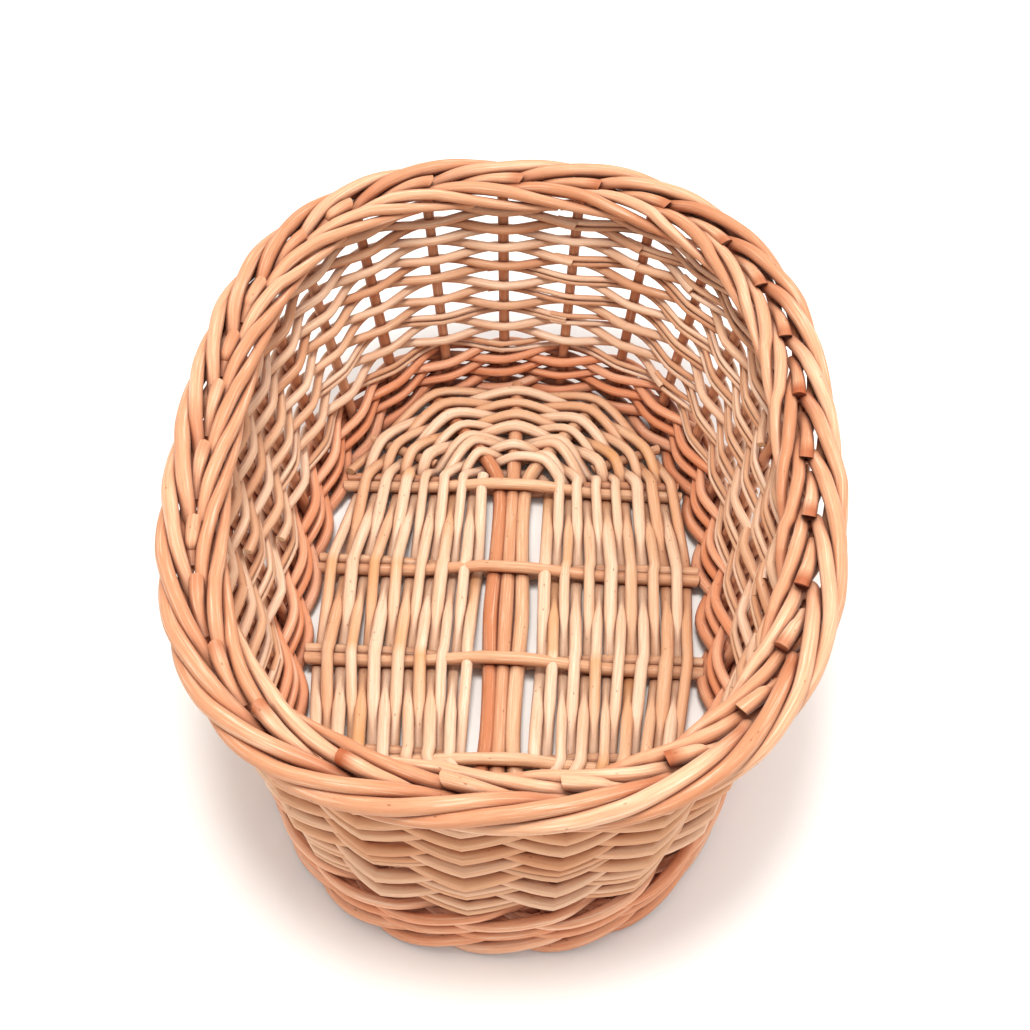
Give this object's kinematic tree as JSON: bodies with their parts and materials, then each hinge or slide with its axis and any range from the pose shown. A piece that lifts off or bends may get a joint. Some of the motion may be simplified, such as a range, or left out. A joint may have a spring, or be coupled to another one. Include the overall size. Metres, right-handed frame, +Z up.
{
  "type": "oval wicker basket",
  "caption": "Open oval willow basket: stick and randing base, waled foot and upsett, randed flaring wall and a rod border, with no handles.",
  "frame": {"origin": "under the middle of the basket, on the surface that it stands on", "axes": "+Z up, X across the basket, Y along it"},
  "size_m": [0.2784, 0.371, 0.1399],
  "materials": {
    "centre_stick_willow": "peeled and steamed willow, satin, smooth bark-free rod with fine specks",
    "cross_stick_willow": "peeled and steamed willow, satin, smooth bark-free rod with fine specks",
    "floor_weaver_willow": "peeled and steamed willow, satin, smooth bark-free rod with fine specks",
    "foot_wale_willow": "peeled and steamed willow, satin, smooth bark-free rod with fine specks",
    "upsett_wale_willow": "peeled and steamed willow, satin, smooth bark-free rod with fine specks",
    "side_weaver_willow": "peeled and steamed willow, satin, smooth bark-free rod with fine specks",
    "stake_and_border_willow": "peeled and steamed willow, satin, smooth bark-free rod with fine specks"
  },
  "bodies": {
    "root": {"base_centre_stick_left": "centre_stick_willow", "base_centre_stick_middle": "centre_stick_willow", "base_centre_stick_right": "centre_stick_willow", "base_cross_stick_1_over": "cross_stick_willow", "base_cross_stick_1_under": "cross_stick_willow", "base_cross_stick_2_over": "cross_stick_willow", "base_cross_stick_2_under": "cross_stick_willow", "base_cross_stick_3_over": "cross_stick_willow", "base_cross_stick_3_under": "cross_stick_willow", "base_cross_stick_4_over": "cross_stick_willow", "base_cross_stick_4_under": "cross_stick_willow", "base_spoke_far_right": "cross_stick_willow", "base_spoke_far_left": "cross_stick_willow", "base_spoke_near_right": "cross_stick_willow", "base_spoke_near_left": "cross_stick_willow", "base_weaver_first_inner": "floor_weaver_willow", "base_weaver_first_outer": "floor_weaver_willow", "base_weaver_second_inner": "floor_weaver_willow", "base_weaver_second_outer": "floor_weaver_willow", "foot_wale_rod_1": "foot_wale_willow", "foot_wale_rod_2": "foot_wale_willow", "foot_wale_rod_3": "foot_wale_willow", "upsett_wale_1_rod_1": "upsett_wale_willow", "upsett_wale_1_rod_2": "upsett_wale_willow", "upsett_wale_1_rod_3": "upsett_wale_willow", "side_weaver_1": "side_weaver_willow", "side_weaver_2": "side_weaver_willow", "side_weaver_3": "side_weaver_willow", "side_weaver_4": "side_weaver_willow", "side_weaver_5": "side_weaver_willow", "side_weaver_6": "side_weaver_willow", "stake_and_border_rod_01": "stake_and_border_willow", "stake_and_border_rod_02": "stake_and_border_willow", "stake_and_border_rod_03": "stake_and_border_willow", "stake_and_border_rod_04": "stake_and_border_willow", "stake_and_border_rod_05": "stake_and_border_willow", "stake_and_border_rod_06": "stake_and_border_willow", "stake_and_border_rod_07": "stake_and_border_willow", "stake_and_border_rod_08": "stake_and_border_willow", "stake_and_border_rod_09": "stake_and_border_willow", "stake_and_border_rod_10": "stake_and_border_willow", "stake_and_border_rod_11": "stake_and_border_willow", "stake_and_border_rod_12": "stake_and_border_willow", "stake_and_border_rod_13": "stake_and_border_willow", "stake_and_border_rod_14": "stake_and_border_willow", "stake_and_border_rod_15": "stake_and_border_willow", "stake_and_border_rod_16": "stake_and_border_willow", "stake_and_border_rod_17": "stake_and_border_willow", "stake_and_border_rod_18": "stake_and_border_willow", "stake_and_border_rod_19": "stake_and_border_willow", "stake_and_border_rod_20": "stake_and_border_willow", "stake_and_border_rod_21": "stake_and_border_willow", "stake_and_border_rod_22": "stake_and_border_willow", "stake_and_border_rod_23": "stake_and_border_willow", "stake_and_border_rod_24": "stake_and_border_willow", "stake_and_border_rod_25": "stake_and_border_willow", "stake_and_border_rod_26": "stake_and_border_willow", "stake_and_border_rod_27": "stake_and_border_willow"}
  },
  "joints": []
}
